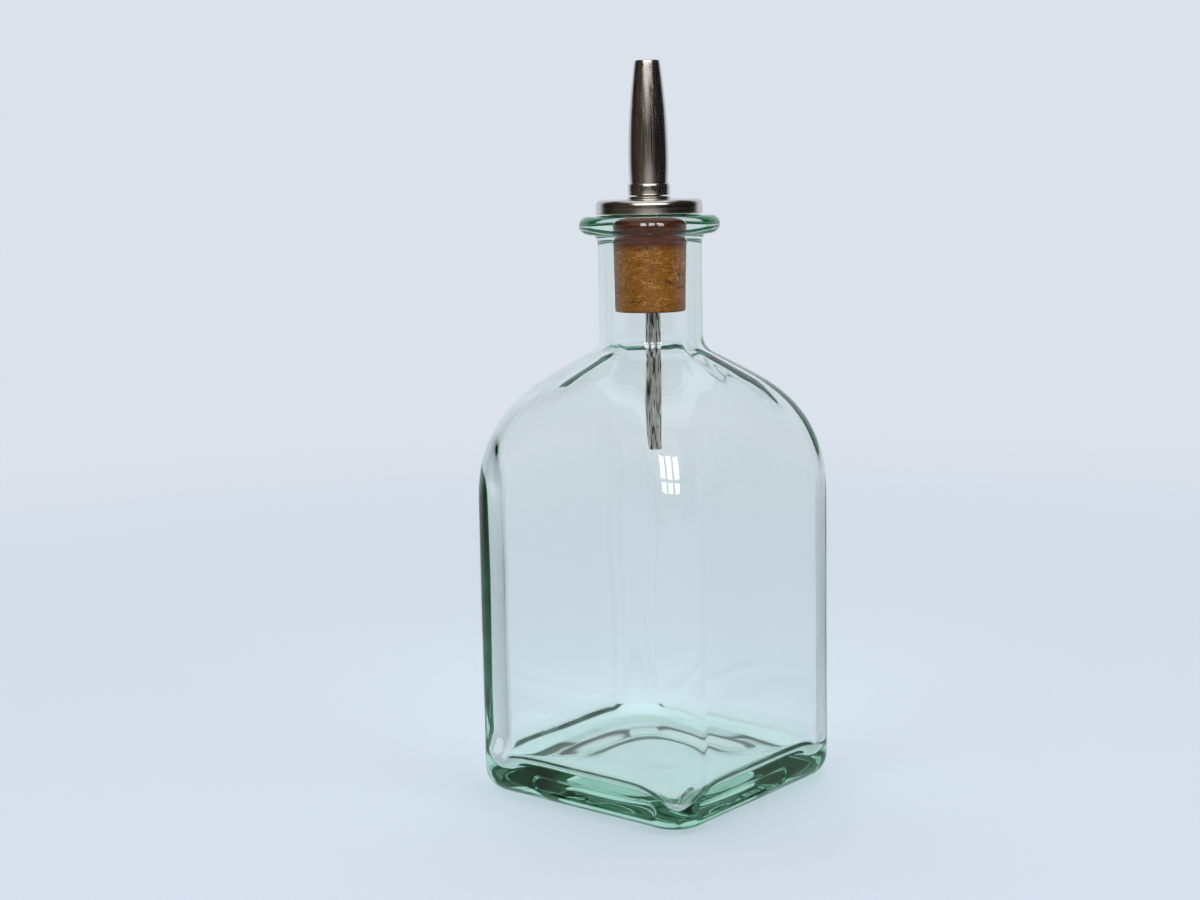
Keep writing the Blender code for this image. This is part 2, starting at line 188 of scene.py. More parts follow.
@dataclass(frozen=True)
class NaturalCork:
    """Natural bottle cork, cut and sanded. It is matt, with darker pores and paler streaks."""

    tan: str = "7C4A15"
    pale: str = "A8743A"
    brown: str = "472507"
    pore: str = "22120A"
    streak_mm: float = 2.6          # growth streaks across the cork
    grain_mm: float = 0.8
    pore_mm: float = 1.5            # real pores are about half as wide, drawn larger to show
    flatness: float = 2.2           # how much wider than tall a streak is
    grain_tones: Pair = (0.62, 1.3)     # how far the grain darkens and brightens it
    pore_span: Pair = (0.66, 0.72)      # noise values between which a pore darkens
    painted_top_shade: str = "9A6A40"           # painted shade: how much darker its top is drawn, where the flange above it and the lip's thick glass shade it
    top_shade_from: float = 0.1468      # height at which that painted shade sets in
    darkening_fade: float = 0.0022      # and over which it does
    top_shade_waver: float = 0.0025     # how far the streaks move its edge
    foot_shade_span: Pair = (0.1290, 0.1285)  # heights over which its foot is painted dark, as shade along its lower rim
    foot_shade_waver: float = 0.0022
    roughness: float = 0.9
    specular: float = 0.2
    ior: float = 1.35
    bump: float = 0.8
    bump_depth: float = 0.0005

    def make(self) -> bpy.types.Material:
        """Build the cork material.

        Returns:
            The material.
        """
        material, tree, output = blank_material("natural_cork")
        place = add_node(tree, "ShaderNodeTexCoord").outputs["Object"]
        flat = add_node(tree, "ShaderNodeMapping", {
            "Vector": place, "Scale": (1.0, 1.0, self.flatness)}).outputs["Vector"]
        streaks = add_node(tree, "ShaderNodeTexNoise", {
            "Vector": flat, "Scale": MM / self.streak_mm, "Detail": 4.0, "Roughness": 0.6,
            "Distortion": 1.4}).outputs["Fac"]
        grain = add_node(tree, "ShaderNodeTexNoise", {
            "Vector": flat, "Scale": MM / self.grain_mm, "Detail": 3.0}).outputs["Fac"]
        pores = add_node(tree, "ShaderNodeTexNoise", {
            "Vector": flat, "Scale": MM / self.pore_mm, "Detail": 1.0, "Distortion": 0.6})
        tones = add_node(tree, "ShaderNodeValToRGB", {"Fac": streaks})
        set_ramp(tones, [(0.31, self.brown), (0.43, self.tan), (0.56, self.tan),
                         (0.66, self.pale)])
        speck = add_node(tree, "ShaderNodeMapRange", {
            "Value": pores.outputs["Fac"], "From Min": self.pore_span[0],
            "From Max": self.pore_span[1]})
        fine = add_node(tree, "ShaderNodeMapRange", {
            "Value": grain, "From Min": NOISE_SPAN[0], "From Max": NOISE_SPAN[1],
            "To Min": self.grain_tones[0], "To Max": self.grain_tones[1]})
        shaded = add_node(tree, "ShaderNodeMix", {
            "Factor": 1.0, "A": tones.outputs["Color"], "B": fine.outputs["Result"]},
            data_type="RGBA", blend_type="MULTIPLY")
        pored = add_node(tree, "ShaderNodeMix", {
            "Factor": speck.outputs["Result"], "A": shaded.outputs["Result"],
            "B": linear(self.pore)}, data_type="RGBA")
        height = add_node(tree, "ShaderNodeSeparateXYZ", {"Vector": place}).outputs["Z"]
        # Painted shade: the top of the cork, shaded by the flange and seen through the lip's thick
        # glass, is drawn darker.
        wavered = add_node(tree, "ShaderNodeMath", {
            0: streaks, 1: self.top_shade_waver, 2: height}, operation="MULTIPLY_ADD")
        top_shade_share = add_node(tree, "ShaderNodeMapRange", {
            "Value": wavered.outputs["Value"], "From Min": self.top_shade_from,
            "From Max": self.top_shade_from + self.darkening_fade})
        darkening = add_node(tree, "ShaderNodeMix", {
            "Factor": top_shade_share.outputs["Result"], "A": linear(WHITE), "B": linear(self.painted_top_shade)},
            data_type="RGBA")
        top_shaded = add_node(tree, "ShaderNodeMix", {
            "Factor": 1.0, "A": pored.outputs["Result"], "B": darkening.outputs["Result"]},
            data_type="RGBA", blend_type="MULTIPLY")
        # Painted shade: a dark, ragged rim along the foot, where the gap below it lies in shade.
        foot_shade_height = add_node(tree, "ShaderNodeMath", {
            0: grain, 1: -self.foot_shade_waver, 2: height}, operation="MULTIPLY_ADD")
        edge = add_node(tree, "ShaderNodeMapRange", {
            "Value": foot_shade_height.outputs["Value"], "From Min": self.foot_shade_span[0],
            "From Max": self.foot_shade_span[1]})
        base_tone = add_node(tree, "ShaderNodeMix", {
            "Factor": edge.outputs["Result"], "A": top_shaded.outputs["Result"],
            "B": linear(self.brown)}, data_type="RGBA")
        bump = add_node(tree, "ShaderNodeBump", {
            "Height": grain, "Strength": self.bump, "Distance": self.bump_depth})
        shader = add_node(tree, "ShaderNodeBsdfPrincipled", {
            "Base Color": base_tone.outputs["Result"], "Roughness": self.roughness, "IOR": self.ior,
            "Specular IOR Level": self.specular, "Normal": bump.outputs["Normal"]})
        tree.links.new(shader.outputs["BSDF"], output.inputs["Surface"])
        return material


@dataclass(frozen=True)
class StainlessSteel:
    """Stainless steel with the marks of how it was shaped.

    A drawn tube has fine lines along it, and a spun or stamped disc has fine rings.
    """

    name: str
    colour: str = "D2CEC8"
    roughness: float = 0.20
    spread: float = 0.08        # how far the roughness varies from line to line
    line_mm: float = 0.35       # real lines are about 0.05 mm, drawn coarser so that they show
    length_mm: float = 14.0     # how long a drawn line is
    ringed: bool = False        # rings round the axis instead of lines along it
    bump: float = 0.05
    bump_depth: float = 0.0002
    tarnish: float = 0.0        # share that old oil has darkened, in streaks
    darkening: str = "2A2722"
    stain_low: float = 0.26     # noise value below which a streak is dark, with no tarnish
    stain_span: float = 0.28    # how much that value rises up to full tarnish
    darkening_fade: float = 0.10    # how much above it a streak is clean

    def make(self) -> bpy.types.Material:
        """Build the steel material.

        Returns:
            The material.
        """
        material, tree, output = blank_material(self.name)
        place = add_node(tree, "ShaderNodeTexCoord").outputs["Object"]
        across, along = MM / self.line_mm, MM / self.length_mm
        if self.ringed:
            flat = add_node(tree, "ShaderNodeVectorMath", {0: place, 1: (1.0, 1.0, 0.0)},
                            operation="MULTIPLY")
            reach = add_node(tree, "ShaderNodeVectorMath", {0: flat.outputs["Vector"]},
                             operation="LENGTH")
            height = add_node(tree, "ShaderNodeSeparateXYZ", {"Vector": place})
            ring = add_node(tree, "ShaderNodeCombineXYZ", {
                "X": reach.outputs["Value"], "Y": height.outputs["Z"]})
            vector = add_node(tree, "ShaderNodeMapping", {
                "Vector": ring.outputs["Vector"], "Scale": (across, across, 1.0)})
        else:
            vector = add_node(tree, "ShaderNodeMapping", {
                "Vector": place, "Scale": (across, across, along)})
        lines = add_node(tree, "ShaderNodeTexNoise", {
            "Vector": vector.outputs["Vector"], "Scale": 1.0, "Detail": 2.0}).outputs["Fac"]
        gloss = add_node(tree, "ShaderNodeMapRange", {
            "Value": lines, "From Min": NOISE_SPAN[0], "From Max": NOISE_SPAN[1],
            "To Min": self.roughness - self.spread, "To Max": self.roughness + self.spread})
        bump = add_node(tree, "ShaderNodeBump", {
            "Height": lines, "Strength": self.bump, "Distance": self.bump_depth})
        shader = add_node(tree, "ShaderNodeBsdfPrincipled", {
            "Base Color": linear(self.colour), "Metallic": 1.0,
            "Roughness": gloss.outputs["Result"], "Normal": bump.outputs["Normal"]})
        if self.tarnish > 0.0:
            limit = self.stain_low + self.stain_span * self.tarnish
            dark = add_node(tree, "ShaderNodeMapRange", {
                "Value": lines, "From Min": limit + self.darkening_fade, "From Max": limit})
            base_tone = add_node(tree, "ShaderNodeMix", {
                "Factor": dark.outputs["Result"], "A": linear(self.colour),
                "B": linear(self.darkening)}, data_type="RGBA")
            tree.links.new(base_tone.outputs["Result"], shader.inputs["Base Color"])
        tree.links.new(shader.outputs["BSDF"], output.inputs["Surface"])
        return material


# Mesh helpers.

def arc(centre: Pair, size: float, start: float, end: float, steps: int) -> Profile:
    """Points of an arc in a profile's plane.

    Args:
        centre: radius and height of the arc's centre.
        size: its radius.
        start: first angle in radians, where zero points away from the axis.
        end: last angle.
        steps: how many pieces it is cut into.

    Returns:
        The points as (radius, height) pairs.
    """
    angles = [start + (end - start) * k / steps for k in range(steps + 1)]
    return [(centre[0] + size * math.cos(a), centre[1] + size * math.sin(a)) for a in angles]


def line(first: Pair, last: Pair, steps: int) -> Profile:
    """Points of a straight stretch of a profile, with its last one but not its first."""
    return [(first[0] + (last[0] - first[0]) * k / steps,
             first[1] + (last[1] - first[1]) * k / steps) for k in range(1, steps + 1)]


def ramp(value: np.ndarray | float, start: float, end: float) -> np.ndarray | float:
    """Share that goes from 0 at the start to 1 at the end and is held beyond both."""
    return np.clip((value - start) / (end - start), 0.0, 1.0)


def smooth(share: np.ndarray | float) -> np.ndarray | float:
    """Ease a share, so that it leaves 0 and reaches 1 without a bend."""
    return share * share * (3 - 2 * share)


def spline(knots: np.ndarray, values: np.ndarray, at: np.ndarray) -> np.ndarray:
    """Smooth curve through points, by cubic pieces with matching slopes.

    Args:
        knots: rising places.
        values: the value at each place.
        at: where the curve is read.

    Returns:
        The curve's values.
    """
    slopes = np.gradient(values, knots)
    k = np.clip(np.searchsorted(knots, at, side="right") - 1, 0, len(knots) - 2)
    span = knots[k + 1] - knots[k]
    t = (at - knots[k]) / span
    return ((2 * t**3 - 3 * t**2 + 1) * values[k] + (t**3 - 2 * t**2 + t) * span * slopes[k]
            + (3 * t**2 - 2 * t**3) * values[k + 1] + (t**3 - t**2) * span * slopes[k + 1])


def turn_profile(profile: Profile, steps: int) -> np.ndarray:
    """Turn a closed profile about the axis.

    Args:
        profile: (radius, height) pairs, running down the outer side.
        steps: points round the axis.

    Returns:
        Rings by points by three coordinates.
    """
    angles = np.arange(steps) * 2 * math.pi / steps
    rings = [np.stack([r * np.cos(angles), r * np.sin(angles), np.full(steps, z)], 1)
             for r, z in reversed(profile)]
    return np.array(rings)


def grid_normals(grid: np.ndarray) -> np.ndarray:
    """Work out the outward direction at each point of a run of rings.

    Args:
        grid: rings by points by three coordinates.

    Returns:
        Unit vectors in the same layout.
    """
    around = np.roll(grid, -1, 1) - np.roll(grid, 1, 1)
    along = np.gradient(grid, axis=0)
    normals = np.cross(around, along)
    least = 1e-12       # keeps a point with no area round it from a division by zero
    return normals / np.maximum(np.linalg.norm(normals, axis=2, keepdims=True), least)


def grid_mesh(name: str, grid: np.ndarray, poles: Sequence[Triple]) -> bpy.types.Mesh:
    """Skin a run of rings.

    Args:
        name: the mesh's name.
        grid: rings by points by three coordinates.
        poles: a first and a last point that close the ends. Where there are none, the last
            ring is joined to the first.

    Returns:
        The mesh, with its faces turned outwards.
    """
    rings, count = grid.shape[:2]
    points = [tuple(p) for p in grid.reshape(-1, 3)]
    faces = []
    for r in range(rings - 1 if poles else rings):
        upper = (r + 1) % rings
        for k in range(count):
            n = (k + 1) % count
            faces.append((r * count + k, r * count + n, upper * count + n, upper * count + k))
    if poles:
        first, last = len(points), len(points) + 1
        points += poles
        final = (rings - 1) * count
        for k in range(count):
            n = (k + 1) % count
            faces.append((n, k, first))
            faces.append((final + k, final + n, last))
    mesh = bpy.data.meshes.new(name)
    mesh.from_pydata(points, [], faces)
    mesh.validate()
    return mesh


def place_piece(name: str, grid: np.ndarray, material: bpy.types.Material, body: Body,
                node: str, poles: Sequence[Triple] = (),
                crease: float = 40.0) -> bpy.types.Object:
    """Skin a run of rings and put it in the scene in the place of its CAD node.

    Args:
        name: the piece's name.
        grid: its rings, in the model's frame.
        material: its finish.
        body: the body that carries it.
        node: the CAD node that it stands for.
        poles: a first and a last point that close its ends, or nothing.
        crease: edges sharper than this many degrees stay crisp.

    Returns:
        The new object.
    """
    mesh = grid_mesh(name, grid, poles)
    mesh.materials.append(material)
    mesh.shade_smooth()
    mesh.set_sharp_from_angle(angle=math.radians(crease))
    piece = bpy.data.objects.new(name, mesh)
    bpy.context.scene.collection.objects.link(piece)
    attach(piece, body.value)
    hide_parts(node)
    LOG.info("%s: %d faces on %s", name, len(mesh.polygons), body.value)
    return piece


# The bottle.

# The waves of blown glass: radians for each metre along X, Y and Z, and a phase.
WAVES = ((190, 60, 70, 0.3), (-120, 170, 95, 1.9), (60, -210, 120, 4.1),
         (260, 230, -60, 2.6), (-300, 90, 150, 5.2), (100, 330, -190, 0.9))


@dataclass
class Pad:
    """A plain round-ended pad pressed into the heel of one side."""

    quarter: int                # quarter turns from the +X side
    shift: float                # along the side, anticlockwise
    length: float = 0.0410
    height: float = 0.0044
    bottom: float = 0.0037
    depth: float = 0.0004
    bevel: float = 0.0004       # half the width of its sloping edge
    fine_inside: float = 0.0034     # how far the mesh is finer inwards from an end
    fine_outside: float = 0.0008    # and outwards
    clear: float = 0.0001       # the least that such a point keeps from the side's end


@dataclass
class GlassBottle:
    """The bottle: one skin from the push-up, over the lip, to the inner floor."""

    side: float = 0.0730
    corner: float = 0.0107          # radius of the upright corners
    wall: float = 0.0035
    heel: float = 0.0067            # radius of the edge at its foot
    bearing: float = 0.0050         # width of the ring that it stands on
    recess: float = 0.0030          # height of the push-up
    recess_flat: float = 0.50       # share of the push-up that is flat
    recess_corner: float = 0.0130   # radius of the corners of its rim
    recess_round: float = 2.0       # how soon its rings turn round on the way to the middle
    floor_corner: float = 0.0052    # height of the inner floor in the corners
    floor_back: float = 0.0090      # in the far corner, which came out higher
    floor_side: float = 0.0094      # at the sides
    floor_centre: float = 0.0092    # and in the middle
    floor_power: float = 6.0        # how late the floor leaves its flat middle
    floor_round: float = 3.0        # how soon its rings turn round on the way to the middle
    floor_dip: float = 4.0          # how near to a corner its edge dips
    floor_fillet: float = 0.0040    # between the floor and the walls
    back_fillet: float = 0.0044     # the same in the far corner
    back_corner: float = 0.0200     # the radius of the floor's rim there
    back_angle: float = math.radians(135.0)     # where that corner is, from +X
    corner_start: float = 0.0820    # where the shoulder starts at a corner
    face_start: float = 0.0940      # and in the middle of a side
    start_power: float = 1.8        # how near to a corner it starts that low
    slope: float = math.radians(28.0)   # of the shoulder at the neck, from level
    neck_fillet: float = 0.0030     # the model's hollow at the neck, on which its heights rest
    neck_hollow: float = 0.0052     # the rounder hollow that is drawn
    neck_wall: float = 0.0037
    bore: float = 0.0101
    neck_length: float = 0.0333
    lip_overhang: float = 0.0049
    lip_bead: float = 0.0024        # radius of the lip's round edge
    lip_rise: float = 0.0002        # how much higher the mouth is than that edge
    lip_fillet: float = 0.0032
    mouth_round: float = 0.0012
    least_corner: float = 0.25      # share of a corner's radius that the heel leaves it
    inner_corners: tuple[float, ...] = (0.0078, 0.0078, 0.0122, 0.0082)     # from +X +Y on
    thick_from: Pair = (0.006, 0.016)   # heights over which the corners grow thick
    thick_to: Pair = (0.099, 0.084)     # and those over which they grow thin again
    thin_at: Pair = (200.0, 0.113)  # degrees and height where the blown shoulder came out thin
    thin_reach: Pair = (38.0, 0.009)    # how far that goes each way, in the same units
    thin_share: float = 0.45        # and how much of the glass it takes
    ease_span: Pair = (0.060, 0.116)    # heights between which the outer skin is evened out
    inner_ripple: float = 0.00012   # how uneven the blown inner skin is
    outer_ripple: float = 0.00004
    ripple_from: Pair = (0.010, 0.022)  # heights over which the ripple sets in
    ripple_fade: float = 0.012      # and how far below the neck it starts to fade out
    pads: list[Pad] = field(default_factory=lambda: [Pad(3, 0.0070), Pad(0, -0.0109)])

    def __post_init__(self) -> None:
        """Lay out the points of a ring and the sizes that follow from the others."""
        self.half = self.side / 2
        self.neck = self.bore + self.neck_wall
        self.lip = self.neck + self.lip_overhang
        self.flat = self.half - self.corner
        quarters, shares, angles = [], [], []
        for quarter in range(4):
            side = self.side_shares(quarter)
            steps = 44 if quarter == 3 else 22      # the corner nearest the camera is finer
            turns = [math.pi / 2 * k / steps for k in range(1, steps)]
            quarters += [quarter] * (len(side) + len(turns))
            shares += side + [1.0] * len(turns)
            angles += [0.0] * len(side) + turns
        self.turn = np.array(quarters) * math.pi / 2
        self.share = np.array(shares)
        self.angle = np.array(angles)
        self.count = len(quarters)
        self.set_even_angles()
        self.neck_foot = (self.shoulder_end(self.reach(self.half, self.corner), self.neck)
                          + self.fillet_reach(self.neck_fillet))
        self.lip_top = self.neck_foot + self.neck_length

    def side_shares(self, quarter: int) -> list[float]:
        """Places of a ring's points along one side, closer near its ends and a pad's ends.

        Args:
            quarter: which side, in quarter turns from the +X side.

        Returns:
            Shares of the way from the side's middle to its ends, from -1 to 1.
        """
        middle, close = 0.72, 0.76      # few points up to the one share, many from the other on
        shares = list(np.linspace(-middle, middle, 9))
        shares += [end * share for share in np.linspace(close, 1.0, 15) for end in (-1, 1)]
        for pad in (each for each in self.pads if each.quarter == quarter):
            for end in (-1, 1):
                rim = pad.shift + end * pad.length / 2
                near = np.linspace(*sorted((rim - end * pad.fine_inside,
                                            rim + end * pad.fine_outside)), 21)
                inside = [s / self.flat for s in near if abs(s) < self.flat - pad.clear]
                if inside:
                    shares = [s for s in shares if s < inside[0] or s > inside[-1]
                              or abs(s) == 1.0] + inside
        return sorted(shares)

    def outline(self, half: float, radius: float) -> np.ndarray:
        """Points of a rounded square, anticlockwise from the lower end of the +X side.

        Args:
            half: half its side.
            radius: its corner radius.

        Returns:
            Points by two coordinates.
        """
        flat = half - radius
        x = flat + radius * np.cos(self.angle)
        y = flat * self.share + radius * np.sin(self.angle)
        c, s = np.cos(self.turn), np.sin(self.turn)
        return np.stack([x * c - y * s, x * s + y * c], 1)

    def set_even_angles(self) -> None:
        """Say at which angle of the round neck each point of the outline ends up.

        Nine places from a side's middle to its corner's middle, four on the flat and five on
        the corner, are spread evenly, and a curve through them gives the points between.
        """
        places = [math.atan2(self.flat * share, self.half) for share in (0.0, 0.3, 0.6, 0.85)]
        for a in (math.pi / 16 * k for k in range(5)):
            places.append(math.atan2(self.flat + self.corner * math.sin(a),
                                     self.flat + self.corner * math.cos(a)))
        even = [math.pi / 32 * k for k in range(len(places))]
        knots = np.array([-p for p in reversed(places)] + places[1:])
        values = np.array([-e for e in reversed(even)] + even[1:])
        points = self.outline(self.half, self.corner)
        own = np.arctan2(points[:, 1], points[:, 0])
        nearest = np.round(own / (math.pi / 2)) * math.pi / 2
        self.even_angle = nearest + spline(knots, values, own - nearest)

    def reach(self, half: float, radius: float) -> float:
        """Distance from the axis to a rounded corner."""
        return half * math.sqrt(2.0) - radius * (math.sqrt(2.0) - 1.0)

    def shrunk(self, half: float, radius: float, inset: float) -> Pair:
        """Half side and corner radius of an outline moved inwards."""
        return half - inset, max(radius - inset, radius * self.least_corner)

    def flat_ring(self, half: float, radius: float, height: float) -> np.ndarray:
        """A ring of the body's outline at one height."""
        return np.column_stack([self.outline(half, radius), np.full(self.count, height)])

    def round_ring(self, radius: float, height: float) -> np.ndarray:
        """A round ring at one height."""
        x, y = radius * np.cos(self.even_angle), radius * np.sin(self.even_angle)
        return np.column_stack([x, y, np.full(self.count, height)])

    def dish_ring(self, rim: np.ndarray, share: float, late: float,
                  height: np.ndarray) -> np.ndarray:
        """A ring inside a rim, rounder the nearer it is to the middle.

        Args:
            rim: the rim's points.
            share: the ring's size as a share of the rim's.
            late: how soon it turns round on the way to the middle.
            height: the height of each of its points.

        Returns:
            The ring.
        """
        circle = self.round_ring(float(rim[:, 0].max()) * share, 0.0)[:, :2]
        return np.column_stack([circle + (rim * share - circle) * share**late, height])

    def shoulder_end(self, reach: float, end: float) -> float:
        """Height at which the shoulder's cone meets a neck wall.

        Args:
            reach: distance from the axis to the skin's upright corners.
            end: the neck wall's radius.

        Returns:
            The height.
        """
        size = reach - self.neck
        turn = math.pi / 2 - self.slope
        run = self.neck + size * math.cos(turn) - end
        return self.corner_start + size * math.sin(turn) + run * math.tan(self.slope)

    def fillet_reach(self, fillet: float) -> float:
        """How far a fillet at the neck runs along the walls that it joins."""
        return fillet * math.tan((math.pi / 2 - self.slope) / 2)

    def shoulder(self, half: float, radius: float, end: float,
                 fillet: float) -> list[np.ndarray]:
        """Rings of one skin of the shoulder.

        Args:
            half: half side of that skin.
            radius: its corner radius.
            end: its radius in the neck.
            fillet: the fillet's radius at the neck.

        Returns:
            Rings from the upright walls to the neck.
        """
        outline = self.outline(half, radius)
        own_reach = np.hypot(outline[:, 0], outline[:, 1])
        own_angle = np.arctan2(outline[:, 1], outline[:, 0])
        shares = (np.sin(2 * own_angle) ** 2) ** self.start_power
        reach = self.reach(half, radius)
        turn = math.pi / 2 - self.slope
        profile = arc((self.neck, self.corner_start), reach - self.neck, 0.0, turn, steps=40)
        centre = (end + fillet, self.shoulder_end(reach, end) + self.fillet_reach(fillet))
        hollow = arc(centre, fillet, -math.pi + turn, -math.pi, steps=20)
        profile += line(profile[-1], hollow[0], steps=6) + hollow[1:]
        top = profile[-1][1]
        start = self.face_start + (self.corner_start - self.face_start) * shares
        squeeze = (top - start) / (top - self.corner_start)
        turn_to_own = (own_angle - self.even_angle + math.pi) % (2 * math.pi) - math.pi
        rings = []
        for distance, height in profile:
            share = (distance - end) / (reach - end)
            angle = self.even_angle + turn_to_own * share
            away = end + (own_reach - end) * share
            rings.append(np.column_stack([away * np.cos(angle), away * np.sin(angle),
                                          top - (top - height) * squeeze]))
        return rings

    def between(self, first: np.ndarray, last: np.ndarray, steps: int) -> list[np.ndarray]:
        """Rings that lead straight from one ring to another, without either of them."""
        return [first + (last - first) * k / steps for k in range(1, steps)]

    def ease(self, grid: np.ndarray, rounds: int, fade: float = 0.006) -> np.ndarray:
        """Even out how rings follow on each other, over part of the height.

        Args:
            grid: rings of one skin.
            rounds: how often it is done.
            fade: the height over which the evening sets in and ends.

        Returns:
            The rings, without a sudden change of curve.
        """
        low, high = self.ease_span
        for _ in range(rounds):
            z = grid[1:-1, :, 2]
            weight = ramp(z, low, low + fade) * ramp(z, high, high - fade)
            middle = (grid[:-2] + 2 * grid[1:-1] + grid[2:]) / 4
            grid[1:-1] += (middle - grid[1:-1]) * weight[..., None]
        return grid

    def heel_inset(self, height: float) -> float:
        """How far the heel has drawn in at a height."""
        rest = max(self.heel - height, 0.0)
        return self.heel - math.sqrt(self.heel**2 - rest**2)

    def base(self) -> list[np.ndarray]:
        """Build the foot of the bottle, with close rings where the pads are pressed in.

        Returns:
            Rings of the push-up, the bearing ring and the heel.
        """
        foot, radius = self.shrunk(self.half, self.corner, self.heel)
        edge = foot - self.bearing
        rim = self.outline(edge, self.recess_corner)
        rings = []
        inmost = 0.04       # the first ring round the pole, as a share of the rim
        for share in np.linspace(inmost, 1.0, 27):
            fall = smooth(ramp(share, self.recess_flat, 1.0))
            height = np.full(self.count, self.recess * (1.0 - fall))
            rings.append(self.dish_ring(rim, share, self.recess_round, height))
        rings += self.between(self.flat_ring(edge, radius, 0.0),
                              self.flat_ring(foot, radius, 0.0), steps=4)
        heights = [self.heel * (1.0 - math.cos(math.pi / 44 * k)) for k in range(12)]
        close, pads_end = 0.0002, 0.0089
        heights += list(np.arange(heights[-1] + close, pads_end, close))
        for height in heights:
            size = self.shrunk(self.half, self.corner, self.heel_inset(height))
            rings.append(self.flat_ring(*size, height))
        return rings

    def press_pads(self, grid: np.ndarray) -> np.ndarray:
        """Press the heel pads into the outer skin.

        Args:
            grid: rings of the outer skin.

        Returns:
            The rings with the pads pressed in.
        """
        for pad in self.pads:
            low = self.heel_inset(pad.bottom)
            high = self.heel_inset(pad.bottom + pad.height)
            tilt = math.atan2(low - high, pad.height)
            turn = -pad.quarter * math.pi / 2
            c, s = math.cos(turn), math.sin(turn)
            x = grid[..., 0] * c - grid[..., 1] * s
            y = grid[..., 0] * s + grid[..., 1] * c
            out = x - (self.half - (low + high) / 2)
            up = grid[..., 2] - (pad.bottom + pad.height / 2)
            rise = up * math.cos(tilt) + out * math.sin(tilt)
            proud = out * math.cos(tilt) - up * math.sin(tilt)
            run = np.maximum(np.abs(y - pad.shift) - (pad.length - pad.height) / 2, 0.0)
            outside = np.hypot(run, rise) - pad.height / 2
            share = smooth(ramp(outside, pad.bevel, -pad.bevel))
            push = np.where((proud > -pad.depth) & (x > 0), (proud + pad.depth) * share, 0.0)
            x = x - push * math.cos(tilt)
            grid[..., 2] += push * math.sin(tilt)
            grid[..., 0] = x * c + y * s
            grid[..., 1] = -x * s + y * c
        return grid

    def lip_rings(self) -> list[np.ndarray]:
        """Build the lip.

        Returns:
            Rings of the hollow under the lip, its bead, its top and the mouth.
        """
        bead = (self.lip - self.lip_bead, self.lip_top - self.lip_rise - self.lip_bead)
        mouth = (self.bore + self.mouth_round, self.lip_top - self.mouth_round)
        hollow = bead[1] - self.lip_bead - self.lip_fillet
        pairs = [(self.neck + self.lip_fillet * (1.0 - math.cos(a)) / 2,
                  hollow + self.lip_fillet * math.sin(a))
                 for a in np.linspace(0.0, math.pi / 2, 13)]
        pairs += arc(bead, self.lip_bead, -math.pi / 2, math.pi / 2, steps=26)
        pairs += line(pairs[-1], (mouth[0], self.lip_top), steps=4)
        pairs += arc(mouth, self.mouth_round, math.pi / 2, math.pi, steps=10)[1:]
        return [self.round_ring(radius, height) for radius, height in pairs]

    def floor(self, half: float, radius: float) -> list[np.ndarray]:
        """Build the inner floor, which dips near three corners and is rounder in the fourth.

        Args:
            half: half side of the inner skin.
            radius: its corner radius.

        Returns:
            Rings from the walls to near the middle.
        """
        outline = self.outline(half, radius)
        reach = np.hypot(outline[:, 0], outline[:, 1])
        shares = ramp(reach, half, reach.max())**self.floor_dip
        angle = np.arctan2(outline[:, 1], outline[:, 0])
        back = (0.5 + 0.5 * np.cos(angle - self.back_angle))**2
        corners = self.floor_corner + (self.floor_back - self.floor_corner) * back
        edges = self.floor_side + (corners - self.floor_side) * shares
        fillets = self.floor_fillet + (self.back_fillet - self.floor_fillet) * back
        least = self.outline(*self.shrunk(half, radius, self.floor_fillet))
        most = self.outline(half - self.back_fillet, self.back_corner)
        rim = least + (most - least) * back[:, None]
        rings = []
        for a in np.linspace(0.0, math.pi / 2, 19):
            rings.append(np.column_stack([outline + (rim - outline) * (1.0 - math.cos(a)),
                                          edges + fillets * (1.0 - math.sin(a))]))
        inmost = 0.025      # the last ring round the pole, as a share of the rim
        for share in np.linspace(1.0 - inmost, inmost, 39):
            height = self.floor_centre + (edges - self.floor_centre) * share**self.floor_power
            rings.append(self.dish_ring(rim, share, self.floor_round, height))
        return rings

    def inset(self, skin: np.ndarray) -> list[np.ndarray]:
        """Run a second skin inside a first, as far away as the glass is thick.

        Args:
            skin: rings of the outer skin, from the walls to the neck.

        Returns:
            Rings of the inner skin.
        """
        drop = np.array([0.0, 0.0, 0.001])      # leads the ends straight on
        normals = grid_normals(np.concatenate([skin[:1] - drop, skin, skin[-1:] + drop]))[1:-1]
        z = skin[..., 2]
        own = np.degrees(np.arctan2(skin[..., 1], skin[..., 0])) % 360
        glass = self.wall + (self.neck_wall - self.wall) * ramp(z, self.face_start, self.neck_foot)
        glass *= 1 - self.thin_share * np.exp(-((own - self.thin_at[0]) / self.thin_reach[0])**2
                                              - ((z - self.thin_at[1]) / self.thin_reach[1])**2)
        return list(skin - normals * glass[..., None])

    def reach_at(self, angle: np.ndarray, half: float, radius: float) -> np.ndarray:
        """Distance from the axis to a rounded square's outline at some angles.

        Args:
            angle: angles about the axis.
            half: half side of the outline.
            radius: its corner radius.

        Returns:
            The distances.
        """
        turn = np.abs((angle + math.pi / 4) % (math.pi / 2) - math.pi / 4)
        away = math.pi / 4 - turn
        centre = (half - radius) * math.sqrt(2.0)
        side = half / np.cos(turn)
        inside = np.maximum(radius**2 - (centre * np.sin(away))**2, 0.0)
        corner = centre * np.cos(away) + np.sqrt(inside)
        return np.where(half * np.tan(turn) <= half - radius, side, corner)

